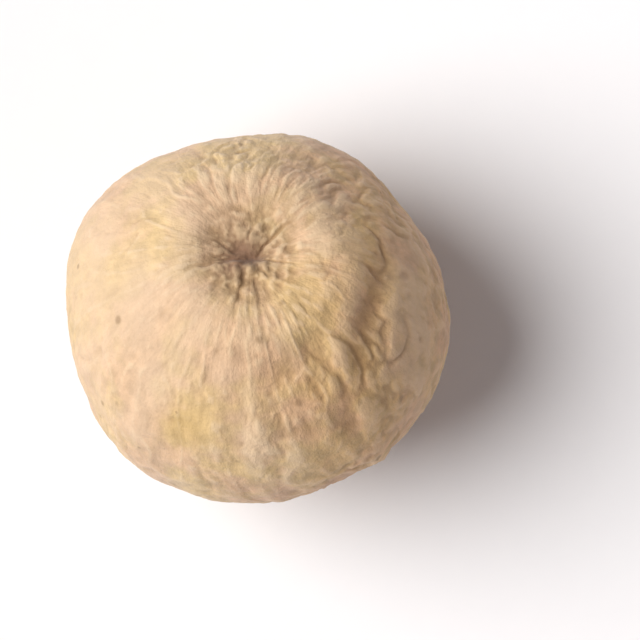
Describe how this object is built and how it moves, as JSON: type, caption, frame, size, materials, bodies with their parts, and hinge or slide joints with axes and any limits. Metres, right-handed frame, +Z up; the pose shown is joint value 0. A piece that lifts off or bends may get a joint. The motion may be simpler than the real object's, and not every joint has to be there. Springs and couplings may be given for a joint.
{
  "type": "white peppercorn",
  "caption": "Dried white peppercorn: a small round cream seed with a sunken stalk scar in a raised collar, low ribs, a blunt beak and a small flat spot to rest on.",
  "frame": {"origin": "middle of the bounding box's underside, on the surface the peppercorn rests on, inside its small flat spot", "axes": "+Z up, away from the flat spot; +X to the right and +Y away from the viewer, who looks down on the stalk scar, which faces up and leans towards +Y"},
  "size_m": [0.0046, 0.0046, 0.0043],
  "materials": {
    "seed": "matt dry cream seed skin"
  },
  "bodies": {
    "root": {"peppercorn": "seed"}
  },
  "joints": []
}
